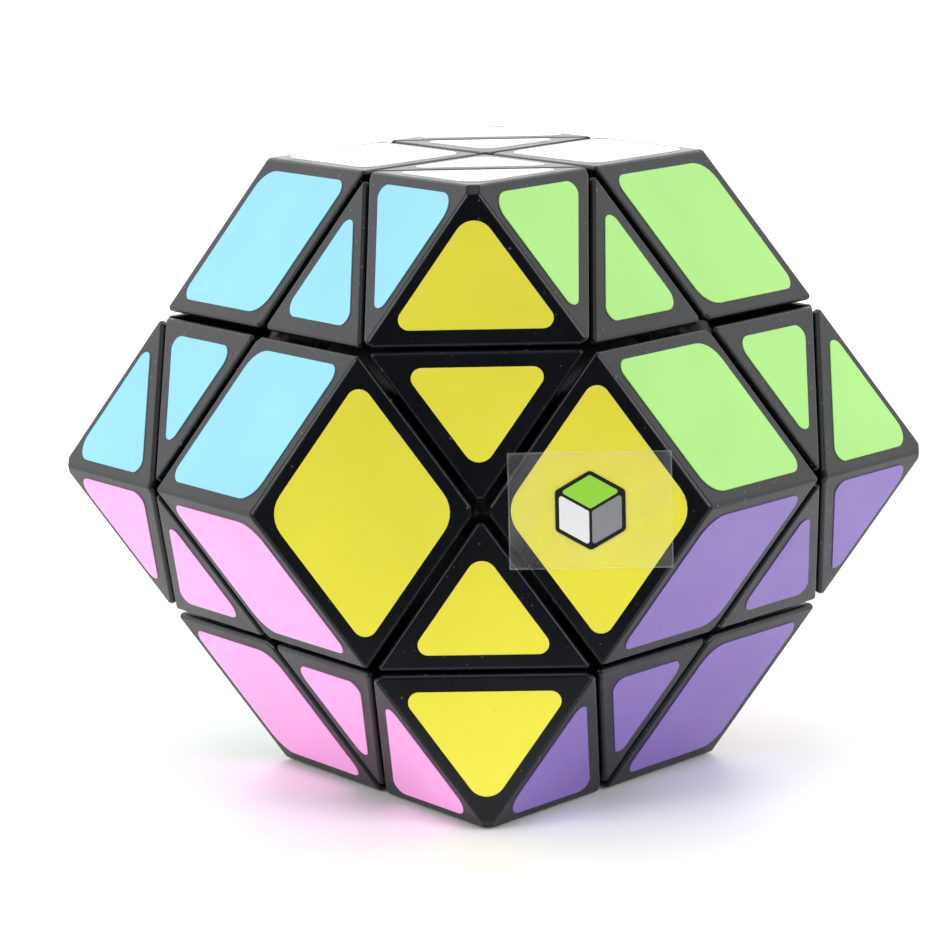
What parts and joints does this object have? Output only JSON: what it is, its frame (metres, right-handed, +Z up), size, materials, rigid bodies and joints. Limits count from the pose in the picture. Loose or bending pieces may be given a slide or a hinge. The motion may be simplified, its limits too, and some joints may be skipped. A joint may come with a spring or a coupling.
{
  "type": "rhombic dodecahedron twisty puzzle",
  "caption": "Twelve-faced twist puzzle: rhombic faces cut into tips, corners and triangles that turn in half turns about screws through the face middles.",
  "frame": {"origin": "middle of the bottom face, on the surface that the puzzle stands on", "axes": "+Z up, square to the bottom face; +X to the right, along the long axis from the left tip to the right tip; -Y towards the front face"},
  "size_m": [0.0948, 0.0684, 0.068],
  "materials": {
    "black_plastic": "satin moulded ABS with softly rounded edges",
    "hub_plastic": "satin moulded acetal",
    "core_plastic": "natural off-white moulded plastic",
    "screw_steel": "plain machine screw, bright",
    "clear_film": "thin clear film with a glossy face",
    "sticker_yellow": "smooth vinyl sticker, semi-gloss",
    "sticker_light_blue": "smooth vinyl sticker, semi-gloss",
    "sticker_light_green": "smooth vinyl sticker, semi-gloss",
    "sticker_purple": "smooth vinyl sticker, semi-gloss",
    "sticker_pink": "smooth vinyl sticker, semi-gloss",
    "sticker_white": "smooth vinyl sticker, semi-gloss",
    "sticker_red": "smooth vinyl sticker, semi-gloss",
    "sticker_orange": "smooth vinyl sticker, semi-gloss",
    "sticker_dark_blue": "smooth vinyl sticker, semi-gloss",
    "sticker_dark_green": "smooth vinyl sticker, semi-gloss",
    "sticker_grey": "smooth vinyl sticker, semi-gloss",
    "sticker_brown": "smooth vinyl sticker, semi-gloss"
  },
  "bodies": {
    "frame": {"core": "core_plastic", "axis_screws": "screw_steel", "clear_label": "clear_film", "tip_left": "black_plastic", "tip_right": "black_plastic", "corner_front_left": "black_plastic", "corner_front_right": "black_plastic", "corner_back_left": "black_plastic", "corner_back_right": "black_plastic", "triangle_front_by_front_top": "black_plastic", "triangle_front_by_front_bottom": "black_plastic", "triangle_back_by_back_top": "black_plastic", "triangle_back_by_back_bottom": "black_plastic", "triangle_front_upper_left_by_left": "black_plastic", "triangle_front_upper_right_by_right": "black_plastic", "triangle_front_lower_left_by_left": "black_plastic", "triangle_front_lower_right_by_right": "black_plastic", "triangle_back_upper_left_by_left": "black_plastic", "triangle_back_upper_right_by_right": "black_plastic", "triangle_back_lower_left_by_left": "black_plastic", "triangle_back_lower_right_by_right": "black_plastic"},
    "layer_top": {"hub_top": "hub_plastic", "tip_front_top": "black_plastic", "tip_back_top": "black_plastic", "corner_top_left": "black_plastic", "corner_top_right": "black_plastic", "triangle_top_by_front_top": "black_plastic", "triangle_top_by_back_top": "black_plastic", "triangle_front_upper_left_by_front_top": "black_plastic", "triangle_front_upper_right_by_front_top": "black_plastic", "triangle_back_upper_left_by_back_top": "black_plastic", "triangle_back_upper_right_by_back_top": "black_plastic"},
    "layer_bottom": {"hub_bottom": "hub_plastic", "tip_front_bottom": "black_plastic", "tip_back_bottom": "black_plastic", "corner_bottom_left": "black_plastic", "corner_bottom_right": "black_plastic", "triangle_bottom_by_front_bottom": "black_plastic", "triangle_bottom_by_back_bottom": "black_plastic", "triangle_front_lower_left_by_front_bottom": "black_plastic", "triangle_front_lower_right_by_front_bottom": "black_plastic", "triangle_back_lower_left_by_back_bottom": "black_plastic", "triangle_back_lower_right_by_back_bottom": "black_plastic"},
    "hub_front": {"hub_front": "hub_plastic"},
    "hub_back": {"hub_back": "hub_plastic"},
    "hub_front_upper_left": {"hub_front_upper_left": "hub_plastic"},
    "hub_front_upper_right": {"hub_front_upper_right": "hub_plastic"},
    "hub_front_lower_left": {"hub_front_lower_left": "hub_plastic"},
    "hub_front_lower_right": {"hub_front_lower_right": "hub_plastic"},
    "hub_back_upper_left": {"hub_back_upper_left": "hub_plastic"},
    "hub_back_upper_right": {"hub_back_upper_right": "hub_plastic"},
    "hub_back_lower_left": {"hub_back_lower_left": "hub_plastic"},
    "hub_back_lower_right": {"hub_back_lower_right": "hub_plastic"}
  },
  "joints": [
    {"name": "layer_top_turn", "type": "hinge", "parent": "frame", "child": "layer_top", "pos_m": [0, 0, 0.034], "axis": [0, 0, 1], "continuous": true},
    {"name": "layer_bottom_turn", "type": "hinge", "parent": "frame", "child": "layer_bottom", "pos_m": [0, 0, 0.034], "axis": [0, 0, -1], "continuous": true},
    {"name": "spin_hub_front", "type": "hinge", "parent": "frame", "child": "hub_front", "pos_m": [0, 0, 0.034], "axis": [0, -1, 0], "continuous": true},
    {"name": "spin_hub_back", "type": "hinge", "parent": "frame", "child": "hub_back", "pos_m": [0, 0, 0.034], "axis": [0, 1, 0], "continuous": true},
    {"name": "spin_hub_front_upper_left", "type": "hinge", "parent": "frame", "child": "hub_front_upper_left", "pos_m": [0, 0, 0.034], "axis": [-0.7071, -0.5, 0.5], "continuous": true},
    {"name": "spin_hub_front_upper_right", "type": "hinge", "parent": "frame", "child": "hub_front_upper_right", "pos_m": [0, 0, 0.034], "axis": [0.7071, -0.5, 0.5], "continuous": true},
    {"name": "spin_hub_front_lower_left", "type": "hinge", "parent": "frame", "child": "hub_front_lower_left", "pos_m": [0, 0, 0.034], "axis": [-0.7071, -0.5, -0.5], "continuous": true},
    {"name": "spin_hub_front_lower_right", "type": "hinge", "parent": "frame", "child": "hub_front_lower_right", "pos_m": [0, 0, 0.034], "axis": [0.7071, -0.5, -0.5], "continuous": true},
    {"name": "spin_hub_back_upper_left", "type": "hinge", "parent": "frame", "child": "hub_back_upper_left", "pos_m": [0, 0, 0.034], "axis": [-0.7071, 0.5, 0.5], "continuous": true},
    {"name": "spin_hub_back_upper_right", "type": "hinge", "parent": "frame", "child": "hub_back_upper_right", "pos_m": [0, 0, 0.034], "axis": [0.7071, 0.5, 0.5], "continuous": true},
    {"name": "spin_hub_back_lower_left", "type": "hinge", "parent": "frame", "child": "hub_back_lower_left", "pos_m": [0, 0, 0.034], "axis": [-0.7071, 0.5, -0.5], "continuous": true},
    {"name": "spin_hub_back_lower_right", "type": "hinge", "parent": "frame", "child": "hub_back_lower_right", "pos_m": [0, 0, 0.034], "axis": [0.7071, 0.5, -0.5], "continuous": true}
  ]
}
